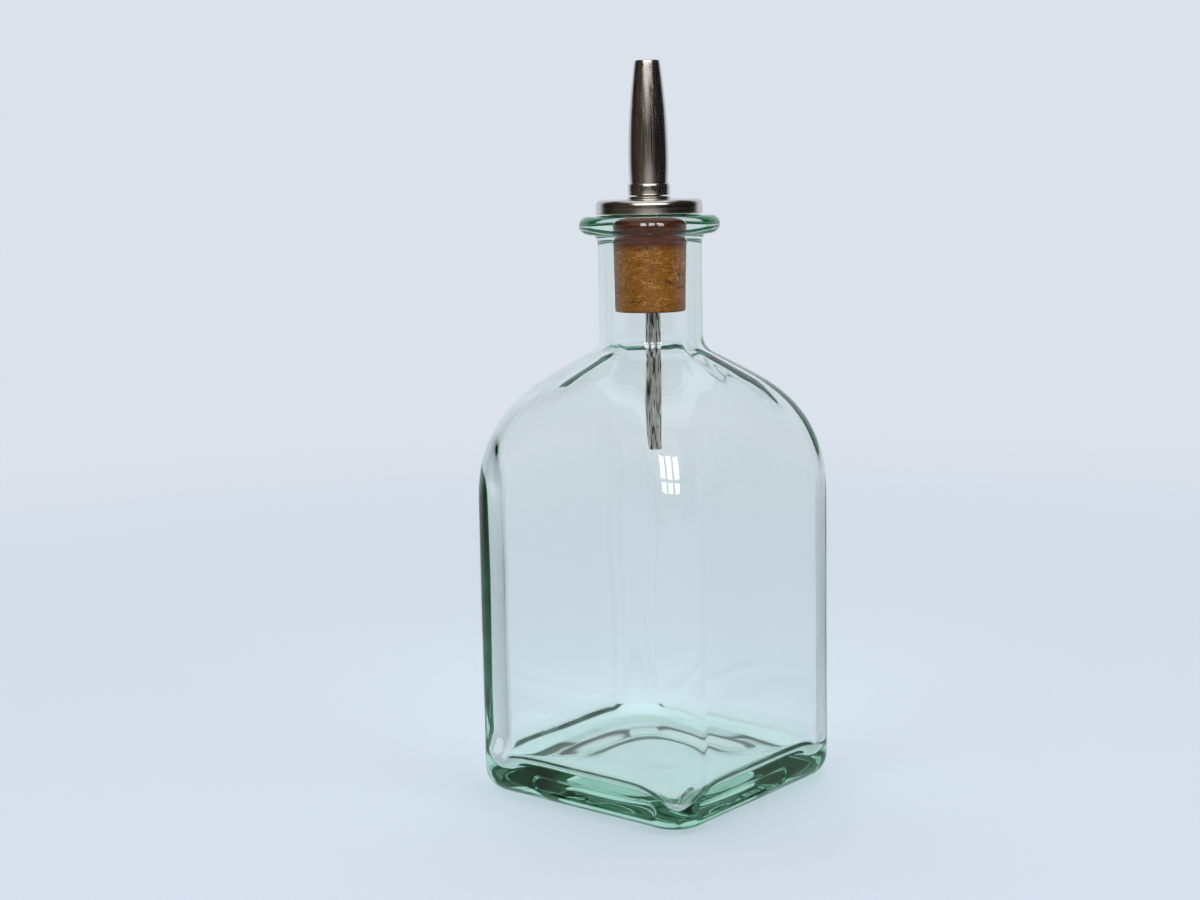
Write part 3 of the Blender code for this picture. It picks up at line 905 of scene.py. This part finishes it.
    def thicken(self, grid: np.ndarray) -> np.ndarray:
        """Draw the inner skin in at the upright corners, where the glass is thicker.

        Args:
            grid: rings of the inner skin.

        Returns:
            The rings with thicker corners.
        """
        angle = np.arctan2(grid[..., 1], grid[..., 0])
        half, radius = self.half - self.wall, self.corner - self.wall
        z = grid[..., 2]
        fade = ramp(z, *self.thick_from) * smooth(ramp(z, *self.thick_to))
        draw = np.zeros_like(angle)
        for k, own in enumerate(self.inner_corners):
            away = (angle - math.pi / 4 - k * math.pi / 2 + math.pi) % (2 * math.pi) - math.pi
            extra = self.reach_at(angle, half, radius) - self.reach_at(angle, half, own)
            draw += np.where(np.abs(away) <= math.pi / 4, extra, 0.0)
        least = 0.001       # the middle of the floor, where there is nothing to draw in
        scale = 1.0 - draw * fade / np.maximum(np.hypot(grid[..., 0], grid[..., 1]), least)
        grid[..., :2] *= scale[..., None]
        return grid

    def ripple(self, grid: np.ndarray, skin: Skin) -> np.ndarray:
        """Make a skin slightly uneven, as glass is that cooled against a mould or free.

        Args:
            grid: rings of that skin.
            skin: which of the two it is.

        Returns:
            The rings, moved by parts of a millimetre. The outer ones only move inwards.
        """
        total = sum(np.sin(grid[..., 0] * a + grid[..., 1] * b + grid[..., 2] * c + phase)
                    for a, b, c, phase in WAVES) / len(WAVES)
        z = grid[..., 2]
        fade = (ramp(z, *self.ripple_from)
                * ramp(z, self.neck_foot, self.neck_foot - self.ripple_fade))
        if skin is Skin.OUTER:
            offset = (total - 1) * self.outer_ripple * fade
        else:
            offset = total * self.inner_ripple * fade
        return grid + grid_normals(grid) * offset[..., None]

    def build(self, material: bpy.types.Material) -> bpy.types.Object:
        """Build the bottle.

        Args:
            material: its glass.

        Returns:
            The bottle's object.
        """
        heel = self.base()
        shoulder = self.shoulder(self.half, self.corner, self.neck, self.neck_hollow)
        lip = self.lip_rings()
        walls = self.between(heel[-1], shoulder[0], steps=70)
        neck = self.between(shoulder[-1], lip[0], steps=6)
        outer = self.ease(np.array(heel + walls + shoulder + neck + lip), rounds=24)
        top = len(heel) + len(walls) + len(shoulder)
        followed = len(shoulder) + 20       # the shoulder and the last rings of the walls
        inside = self.inset(outer[top - followed:top])
        floor = self.floor(self.half - self.wall, self.corner - self.wall)
        bore = self.between(outer[-1], inside[-1], steps=10)
        walls = self.between(inside[0], floor[0], steps=60)
        inner = np.array(bore + list(reversed(inside)) + walls + floor)
        inner = self.ripple(self.thicken(inner), Skin.INNER)
        outer = self.ripple(self.press_pads(outer), Skin.OUTER)
        return place_piece("glass_bottle_skin", np.concatenate([outer, inner]), material,
                           Body.BOTTLE, "glass_bottle", crease=60.0,
                           poles=[(0.0, 0.0, self.recess), (0.0, 0.0, self.floor_centre)])


# The stopper and the pourer.

CORK_DEPTH = 0.0253         # from the bottle's lip down to the cork's foot


@dataclass
class CorkStopper:
    """Tapered cork, bored for the pourer's stem."""

    top: float
    mouth: float                # height of the bottle's mouth, where the taper starts
    foot: float
    radius: float = 0.0098
    taper: float = 0.0005       # how much thinner it is at its foot
    chamfer: float = 0.0004
    bore: float = 0.0038
    pit: float = 0.00022        # depth of the pores in its side
    pit_spread: Pair = (900.0, 330.0)   # pores and soft dents to a metre
    pit_span: Pair = (0.18, 0.68)       # noise values between which a pore deepens
    dent_share: float = 0.35    # depth of the soft dents, as a share of the pores'
    flatness: float = 1.8       # how much wider than tall a pore is

    def build(self, material: bpy.types.Material) -> bpy.types.Object:
        """Build the cork with a pitted side and a worn lower edge.

        Args:
            material: its cork.

        Returns:
            The cork's object.
        """
        low = self.radius - self.taper
        brim = self.top - self.chamfer
        end = self.foot + self.chamfer
        profile = [(self.bore, self.top), (self.radius - self.chamfer, self.top),
                   (self.radius, brim)]
        profile += line(profile[-1], (self.radius, self.mouth), steps=30)
        profile += line(profile[-1], (low, end), steps=110)
        profile += [(low - self.chamfer * 0.3, self.foot + self.chamfer * 0.3),
                    (low - self.chamfer, self.foot),
                    (low - self.chamfer * 4, self.foot), (self.bore, self.foot)]
        grid = turn_profile(profile, steps=240)
        smooth_reach = self.bore * 1.5      # the bore and its edges are left smooth
        for ring in grid:
            for point in ring:
                if math.hypot(point[0], point[1]) > smooth_reach:
                    self.roughen(point)
        return place_piece("cork_body", grid, material, Body.STOPPER, "cork_stopper")

    def roughen(self, point: np.ndarray) -> None:
        """Sink one point of the side into a pore or a worn place.

        Args:
            point: its place, changed as it stands.
        """
        spot = Vector((point[0], point[1], point[2] * self.flatness))
        pore = ramp(noise.noise(spot * self.pit_spread[0]), *self.pit_span)
        dent = ramp(noise.noise(spot * self.pit_spread[1]), -1.0, 1.0)
        depth = self.pit * (pore + self.dent_share * dent)
        point[:2] *= 1.0 - depth / math.hypot(point[0], point[1])


@dataclass
class Pourer:
    """The steel pourer: a stamped flange, a drawn spout, a stem and an air tube."""

    lip_top: float
    cork_foot: float
    gap: float = 0.0003             # kept between its pieces, as in the model
    bore: float = 0.0101            # of the bottle's neck
    flange_lap: float = 0.00405     # how far the flange reaches past that bore
    flange_height: float = 0.0037
    flange_round: float = 0.0014
    sheet: float = 0.0007
    boss_height: float = 0.0008
    boss_lap: float = 0.0001
    length: float = 0.0350          # of the spout
    tip: float = 0.00335            # its radii, from its open end
    belly: float = 0.0053
    waist: float = 0.0051           # just above the bead
    bead: float = 0.0056
    bead_height: float = 0.0031
    belly_height: float = 0.0095
    wall: float = 0.00035
    taper_power: float = 1.9        # how full the spout is between its belly and its tip
    stem: float = 0.0035
    stem_wall: float = 0.0005
    stem_rise: float = 0.0030       # how far the stem reaches into the spout
    tube: float = 0.0020
    tube_wall: float = 0.0004
    tube_drop: float = 0.0374       # how far the air tube hangs below the cork
    tube_rise: float = 0.0085       # and how far it reaches above the stem

    def __post_init__(self) -> None:
        """Work out the heights and radii that follow from the sizes."""
        self.flange_foot = self.lip_top + self.gap
        self.flange_top = self.flange_foot + self.flange_height
        self.underside = self.flange_top - self.sheet
        self.boss_top = self.flange_top + self.boss_height
        self.foot = self.boss_top + self.gap
        self.stem_top = self.foot + self.stem_rise
        self.tube_top = self.stem_top + self.tube_rise
        self.tube_foot = self.cork_foot - self.tube_drop
        self.tube_shift = self.stem - self.stem_wall - self.gap - self.tube

    def flange(self, material: bpy.types.Material) -> bpy.types.Object:
        """Build the stamped flange: boss, flat top, rolled edge, rim and hollow.

        Args:
            material: its steel.

        Returns:
            The flange's object.
        """
        reach = self.bore + self.flange_lap
        roll = (reach - self.flange_round, self.flange_top - self.flange_round)
        bore = self.stem + self.gap
        boss = self.bead + self.boss_lap
        small = self.sheet / 3
        quarter = math.pi / 2
        profile = [(bore, self.boss_top)]
        profile += arc((boss - small, self.boss_top - small), small, quarter, 0.0, steps=6)
        profile += arc((boss + small, self.flange_top + small), small, -math.pi, -quarter, steps=5)
        profile += arc(roll, self.flange_round, quarter, 0.0, steps=16)
        profile += arc((reach - small, self.flange_foot + small), small, 0.0, -quarter, steps=6)
        profile.append((reach - self.sheet, self.flange_foot))
        profile += arc(roll, self.flange_round - self.sheet, 0.0, quarter, steps=8)
        profile.append((bore, self.underside))
        return place_piece("pressed_flange", turn_profile(profile, steps=160), material,
                           Body.POURER, "pourer_flange")

    def spout_radius(self, height: float) -> float:
        """Outer radius of the spout, over its bead.

        Args:
            height: how far above its foot.

        Returns:
            The radius.
        """
        if height <= self.belly_height:
            share = (height - self.bead_height) / (self.belly_height - self.bead_height)
            return self.waist + (self.belly - self.waist) * math.sin(math.pi / 2 * max(share, 0))
        share = (self.length - height) / (self.length - self.belly_height)
        return self.tip + (self.belly - self.tip) * (1.0 - (1.0 - share) ** self.taper_power)

    def spout(self, material: bpy.types.Material) -> bpy.types.Object:
        """Build the drawn spout with a rolled bead at its foot and an open tip.

        Args:
            material: its steel.

        Returns:
            The spout's object.
        """
        rounding = self.wall * 2 / 3
        span = self.length - self.bead_height - rounding
        steps = 60
        heights = [self.bead_height + span * (1.0 - k / steps) for k in range(steps + 1)]
        outer = [(self.spout_radius(h), self.foot + h) for h in heights]
        top = self.foot + self.length
        rim = [(self.tip - self.wall, top), (self.tip - rounding, top)]
        rim += arc((self.tip - rounding, top - rounding), rounding, math.pi * 0.4, math.pi * 0.1,
                   steps=3)
        steps = 20
        turns = [math.pi * (0.5 - k / steps) for k in range(1, steps)]
        bead = [(self.waist + (self.bead - self.waist) * math.sqrt(math.cos(a)),
                 self.foot + self.bead_height / 2 * (1.0 + math.sin(a))) for a in turns]
        inner = [(r - self.wall, z) for r, z in reversed(outer)]
        profile = rim + outer + bead
        profile += [(self.waist, self.foot), (self.waist - self.wall, self.foot)] + inner
        return place_piece("drawn_spout", turn_profile(profile, steps=128), material,
                           Body.POURER, "pourer_spout")

    def pipe(self, radius: float, wall: float, foot: float, top: float) -> np.ndarray:
        """Rings of a straight tube with its cut ends slightly eased.

        Args:
            radius: its outer radius.
            wall: its wall.
            foot: height of its lower end.
            top: height of its upper end.

        Returns:
            Rings by points by three coordinates.
        """
        ease = wall / 4
        profile = [(radius - wall, top), (radius - ease, top), (radius, top - ease)]
        profile += line(profile[-1], (radius, foot + ease), steps=40)
        profile += [(radius - ease, foot), (radius - wall, foot)]
        return turn_profile(profile, steps=64)

    def core(self, material: bpy.types.Material) -> bpy.types.Object:
        """Build the stem that runs through the cork."""
        grid = self.pipe(self.stem, self.stem_wall, self.cork_foot, self.stem_top)
        return place_piece("stem_tube", grid, material, Body.POURER, "pourer_stem")

    def breather(self, material: bpy.types.Material) -> bpy.types.Object:
        """Build the thin air tube that reaches down into the bottle.

        Args:
            material: its steel.

        Returns:
            The tube's object.
        """
        grid = self.pipe(self.tube, self.tube_wall, self.tube_foot, self.tube_top)
        grid[..., 0] += self.tube_shift
        return place_piece("breather_tube", grid, material, Body.POURER, "air_tube")


# Stage, light and camera.

@dataclass(frozen=True)
class Patch:
    """A soft round patch of tone in the surroundings, as bright metal and glass mirror it."""

    azimuth: float              # degrees, anticlockwise from +X
    elevation: float
    inner: float                # degrees from its middle to where it starts to fade
    outer: float
    tone: str

    def direction(self) -> Triple:
        """Unit vector to the patch's middle."""
        a, e = math.radians(self.azimuth), math.radians(self.elevation)
        return math.cos(a) * math.cos(e), math.sin(a) * math.cos(e), math.sin(e)


@dataclass(frozen=True)
class Lamp:
    """A soft rectangular lamp, which is never seen itself.

    It can be kept out of what shiny pieces mirror, or show there and nowhere else.
    """

    name: str
    place: Vector
    aim: Vector
    size: Pair
    power: float                # watts
    tone: str = WHITE
    mirrored: bool = True       # shiny pieces show it
    lights: bool = True         # matt pieces are lit by it

    def hang(self, pieces: Sequence[bpy.types.Object] = ()) -> None:
        """Hang the lamp.

        Args:
            pieces: what it reaches, or nothing where it reaches everything.
        """
        data = bpy.data.lights.new(self.name, "AREA")
        data.shape = "RECTANGLE"
        data.size, data.size_y = self.size
        data.energy = self.power
        data.color = linear(self.tone)[:3]
        lamp = bpy.data.objects.new(self.name, data)
        bpy.context.scene.collection.objects.link(lamp)
        lamp.location = self.place
        lamp.rotation_mode = "QUATERNION"
        lamp.rotation_quaternion = (self.aim - self.place).to_track_quat("-Z", "Y")
        lamp.visible_camera = False
        lamp.visible_transmission = False
        lamp.visible_glossy = self.mirrored
        lamp.visible_diffuse = self.lights
        if pieces:
            reached = bpy.data.collections.new(f"{self.name}_lights")
            for piece in pieces:
                reached.objects.link(piece)
            lamp.light_linking.receiver_collection = reached


@dataclass(frozen=True)
class PhotoCamera:
    """The camera, fitted to the photograph."""

    place: Triple = (0.3213, -0.4091, 0.1689)
    turn: float = 39.71             # degrees to the left of +Y
    tilt: float = 8.384             # degrees below level
    roll: float = -1.081
    lens: float = 58.6              # millimetres, for a sensor of 36
    nearest: float = 0.01

    def build(self) -> None:
        """Set the camera where the photograph was taken from."""
        data = bpy.data.cameras.new("photo_camera")
        data.sensor_width = 36.0
        data.lens = self.lens
        data.clip_start = self.nearest
        camera = bpy.data.objects.new("photo_camera", data)
        bpy.context.scene.collection.objects.link(camera)
        turn = (Matrix.Rotation(math.radians(self.turn), 4, "Z")
                @ Matrix.Rotation(math.radians(90.0 - self.tilt), 4, "X")
                @ Matrix.Rotation(math.radians(self.roll), 4, "Z"))
        camera.matrix_world = Matrix.Translation(self.place) @ turn
        bpy.context.scene.camera = camera


@dataclass
class Studio:
    """A pale sweep in soft light, with a darker room and a window behind the camera."""

    backdrop: str = "DBE2EB"
    floor: str = "D7DBE1"
    floor_reach: float = 0.8
    floor_drop: float = 0.0002      # a hair, so that the paper under the bearing ring is lit too
    floor_fade: Pair = (0.22, 0.75)     # how far out the floor turns into the backdrop
    near_reach: Pair = (0.06, 0.12)     # how far out it starts to let guided light pass
    depth: str = "22503C"           # what light looks like that turned often in the glass
    clear_turns: float = 1.2        # light that turned less often is still pale
    dark_turns: float = 3.0         # and after this many turns it has that tone
    rising_share: float = 0.9       # how much of that darkness light has that leaves upwards
    rising_from: float = 0.25       # how steeply that is, with 0 for level and 1 for straight up
    room: tuple[Patch, ...] = (
        Patch(308.0, 8.0, 112.0, 136.0, "1E1812"),
        Patch(262.0, 0.0, 14.0, 50.0, "41372A"),
        Patch(20.0, 0.0, 20.0, 50.0, "120F0C"),
        Patch(304.0, 40.0, 22.0, 34.0, "EAE5DE"),
        Patch(308.0, -48.0, 38.0, 52.0, "C6C2BA"),
    )
    room_inside: tuple[Patch, ...] = (
        Patch(308.0, 8.0, 50.0, 95.0, "55584F"),
    )
    aim: Triple = (0.0, 0.0, 0.09)  # what the lamps face
    window_azimuth: float = 312.0
    pane_rows: tuple[Pair, ...] = ((0.62, 1.14), (1.33, 2.95))     # lower and upper edges
    pane_columns: Triple = (-0.76, 0.0, 0.76)
    pane_width: float = 0.54
    pane_distance: float = 3.0
    pane_power: float = 21.0        # watts for each metre of height
    glow_at: Pair = (1.3, 0.7)      # distance and height of the window's soft glow
    softbox_at: Pair = (1.5, 1.25)  # and of the lamp that the steel mirrors
    overhead_at: Triple = (-0.1, 0.1, 1.4)

    def tones(self, tree: bpy.types.NodeTree, direction: bpy.types.NodeSocket,
              patches: Sequence[Patch]) -> Colour | bpy.types.NodeSocket:
        """Lay patches of tone over the pale surroundings.

        Args:
            tree: the world's node tree.
            direction: the socket that gives the direction looked in.
            patches: what is laid, from the first to the last.

        Returns:
            The socket that gives the tone.
        """
        tone = linear(self.backdrop)
        for patch in patches:
            facing = add_node(tree, "ShaderNodeVectorMath",
                              {0: direction, 1: patch.direction()}, operation="DOT_PRODUCT")
            share = add_node(tree, "ShaderNodeMapRange", {
                "Value": facing.outputs["Value"],
                "From Min": math.cos(math.radians(patch.outer)),
                "From Max": math.cos(math.radians(patch.inner))},
                interpolation_type="SMOOTHSTEP")
            mixed = add_node(tree, "ShaderNodeMix", {
                "Factor": share.outputs["Result"], "A": tone, "B": linear(patch.tone)},
                data_type="RGBA")
            tone = mixed.outputs["Result"]
        return tone

    def guided(self, tree: bpy.types.NodeTree) -> bpy.types.NodeSocket:
        """Find how far light is on the way from pale to dark, by its turns in the glass.

        Args:
            tree: the node tree that asks.

        Returns:
            The socket that gives the share.
        """
        path = add_node(tree, "ShaderNodeLightPath")
        share = add_node(tree, "ShaderNodeMapRange", {
            "Value": path.outputs["Glossy Depth"], "From Min": self.clear_turns,
            "From Max": self.dark_turns})
        return share.outputs["Result"]

    def world(self) -> None:
        """Build the world: pale where it is seen, the room where it is mirrored."""
        world = bpy.data.worlds.new("pale_studio")
        world.use_nodes = True
        tree = world.node_tree
        tree.nodes.clear()
        direction = add_node(tree, "ShaderNodeTexCoord").outputs["Generated"]
        outer_tone = self.tones(tree, direction, self.room)
        inner_tone = self.tones(tree, direction, self.room_inside)
        path = add_node(tree, "ShaderNodeLightPath")
        mirrored = add_node(tree, "ShaderNodeMath", {0: path.outputs["Glossy Depth"], 1: 0.5},
                            operation="GREATER_THAN")
        inside = add_node(tree, "ShaderNodeMath", {0: path.outputs["Transmission Depth"], 1: 0.5},
                          operation="GREATER_THAN")
        parts = add_node(tree, "ShaderNodeSeparateXYZ", {"Vector": direction})
        sinking = add_node(tree, "ShaderNodeMapRange", {
            "Value": parts.outputs["Z"], "From Min": self.rising_from, "From Max": 0.0,
            "To Min": self.rising_share, "To Max": 1.0})
        darkened = add_node(tree, "ShaderNodeMath", {
            0: self.guided(tree), 1: sinking.outputs["Result"]}, operation="MULTIPLY")
        deep = add_node(tree, "ShaderNodeMix", {
            "Factor": darkened.outputs["Value"], "A": inner_tone, "B": linear(self.depth)},
            data_type="RGBA")
        tone = add_node(tree, "ShaderNodeMix", {
            "Factor": inside.outputs["Value"], "A": outer_tone, "B": deep.outputs["Result"]},
            data_type="RGBA")
        seen = add_node(tree, "ShaderNodeMix", {
            "Factor": mirrored.outputs["Value"], "A": linear(self.backdrop),
            "B": tone.outputs["Result"]}, data_type="RGBA")
        shine = add_node(tree, "ShaderNodeBackground", {"Color": seen.outputs["Result"]})
        add_node(tree, "ShaderNodeOutputWorld", {"Surface": shine.outputs["Background"]})
        bpy.context.scene.world = world

    def paper(self) -> bpy.types.Material:
        """Build the floor's matt paper, which fades into the backdrop far out.

        Light that was guided by the glass passes through it, and so comes from the dark world.

        Returns:
            The material.
        """
        material, tree, output = blank_material("pale_matt_paper")
        place = add_node(tree, "ShaderNodeTexCoord").outputs["Object"]
        reach = add_node(tree, "ShaderNodeVectorMath", {0: place}, operation="LENGTH")
        fade, near = (add_node(tree, "ShaderNodeMapRange", {
            "Value": reach.outputs["Value"], "From Min": start, "From Max": end},
            interpolation_type="SMOOTHSTEP").outputs["Result"]
            for start, end in (self.floor_fade, self.near_reach))
        passed = add_node(tree, "ShaderNodeMath", {0: near, 1: self.guided(tree)},
                          operation="MULTIPLY")
        gone = add_node(tree, "ShaderNodeMath", {0: fade, 1: passed.outputs["Value"]},
                        operation="MAXIMUM")
        matt = add_node(tree, "ShaderNodeBsdfDiffuse", {"Color": linear(self.floor)})
        clear = add_node(tree, "ShaderNodeBsdfTransparent")
        mix = add_node(tree, "ShaderNodeMixShader", {
            0: gone.outputs["Value"], 1: matt.outputs["BSDF"], 2: clear.outputs["BSDF"]})
        tree.links.new(mix.outputs["Shader"], output.inputs["Surface"])
        return material

    def ground(self) -> None:
        """Lay the floor: one round sheet of paper, a little below the bottle."""
        count = 64
        angles = np.arange(count) * 2 * math.pi / count
        rim = [(self.floor_reach * math.cos(a), self.floor_reach * math.sin(a), 0.0)
               for a in angles]
        mesh = bpy.data.meshes.new("floor")
        mesh.from_pydata(rim, [], [tuple(range(count))])
        mesh.materials.append(self.paper())
        floor = bpy.data.objects.new("floor", mesh)
        floor.location.z = -self.floor_drop
        bpy.context.scene.collection.objects.link(floor)

    def light(self, glass: bpy.types.Object, steel: Sequence[bpy.types.Object]) -> None:
        """Hang the lamps: a window of six panes behind the camera and soft ones round it.

        Args:
            glass: the bottle, which mirrors the window's panes.
            steel: the flange and the spout, which mirror one broad lamp.
        """
        aim = Vector(self.aim)
        middle = math.radians(self.window_azimuth)
        side = Vector((-math.sin(middle), math.cos(middle), 0.0))
        out = Vector((math.cos(middle), math.sin(middle), 0.0))
        for column, shift in enumerate(self.pane_columns):
            for row, (foot, top) in enumerate(self.pane_rows):
                height = Vector((0.0, 0.0, (foot + top) / 2))
                Lamp(f"window_pane_{column}{row}",
                     out * self.pane_distance + side * shift + height, height,
                     size=(self.pane_width, top - foot), power=self.pane_power * (top - foot),
                     tone=DAYLIGHT, lights=False).hang([glass])
        height = Vector((0.0, 0.0, self.glow_at[1]))
        Lamp("window_glow", out * self.glow_at[0] + height, height, size=(1.0, 1.0), power=9.0,
             tone=DAYLIGHT, mirrored=False).hang()
        height = Vector((0.0, 0.0, self.softbox_at[1]))
        Lamp("steel_softbox", out * self.softbox_at[0] + height, aim, size=(2.4, 0.9),
             power=14.0, lights=False).hang(steel)
        Lamp("overhead_softbox", Vector(self.overhead_at), aim, size=(1.2, 1.2),
             power=4.0).hang()

    def build(self, glass: bpy.types.Object, steel: Sequence[bpy.types.Object]) -> None:
        """Build the stage, the lights and the camera.

        Args:
            glass: the bottle.
            steel: the flange and the spout.
        """
        self.world()
        self.ground()
        self.light(glass, steel)
        PhotoCamera().build()
        scene = bpy.context.scene
        scene.view_settings.view_transform = "Standard"
        # Light runs a long way inside the thick glass before it comes out again.
        scene.cycles.max_bounces = 40
        scene.cycles.glossy_bounces = 32
        scene.cycles.transmission_bounces = 32


def main() -> None:
    """Build the bottle, its stopper and its pourer, and the studio round them."""
    logging.basicConfig(level=logging.INFO, format="%(name)s: %(message)s")
    bottle = GlassBottle()
    glass = bottle.build(RecycledGlass().make())
    cork_foot = bottle.lip_top - CORK_DEPTH
    pourer = Pourer(bottle.lip_top, cork_foot)
    cork = CorkStopper(pourer.underside - pourer.gap, bottle.lip_top - bottle.mouth_round,
                       cork_foot)
    cork.build(NaturalCork().make())
    flange = pourer.flange(StainlessSteel("stamped_stainless_steel", ringed=True).make())
    spout = pourer.spout(StainlessSteel("drawn_stainless_steel").make())
    pourer.core(StainlessSteel("stem_stainless_steel", roughness=0.3).make())
    pourer.breather(StainlessSteel("tarnished_stainless_steel", roughness=0.30, line_mm=0.5,
                                   length_mm=5.0, tarnish=0.55, bump=0.5).make())
    Studio().build(glass, [flange, spout])


if __name__ == "__main__":
    main()
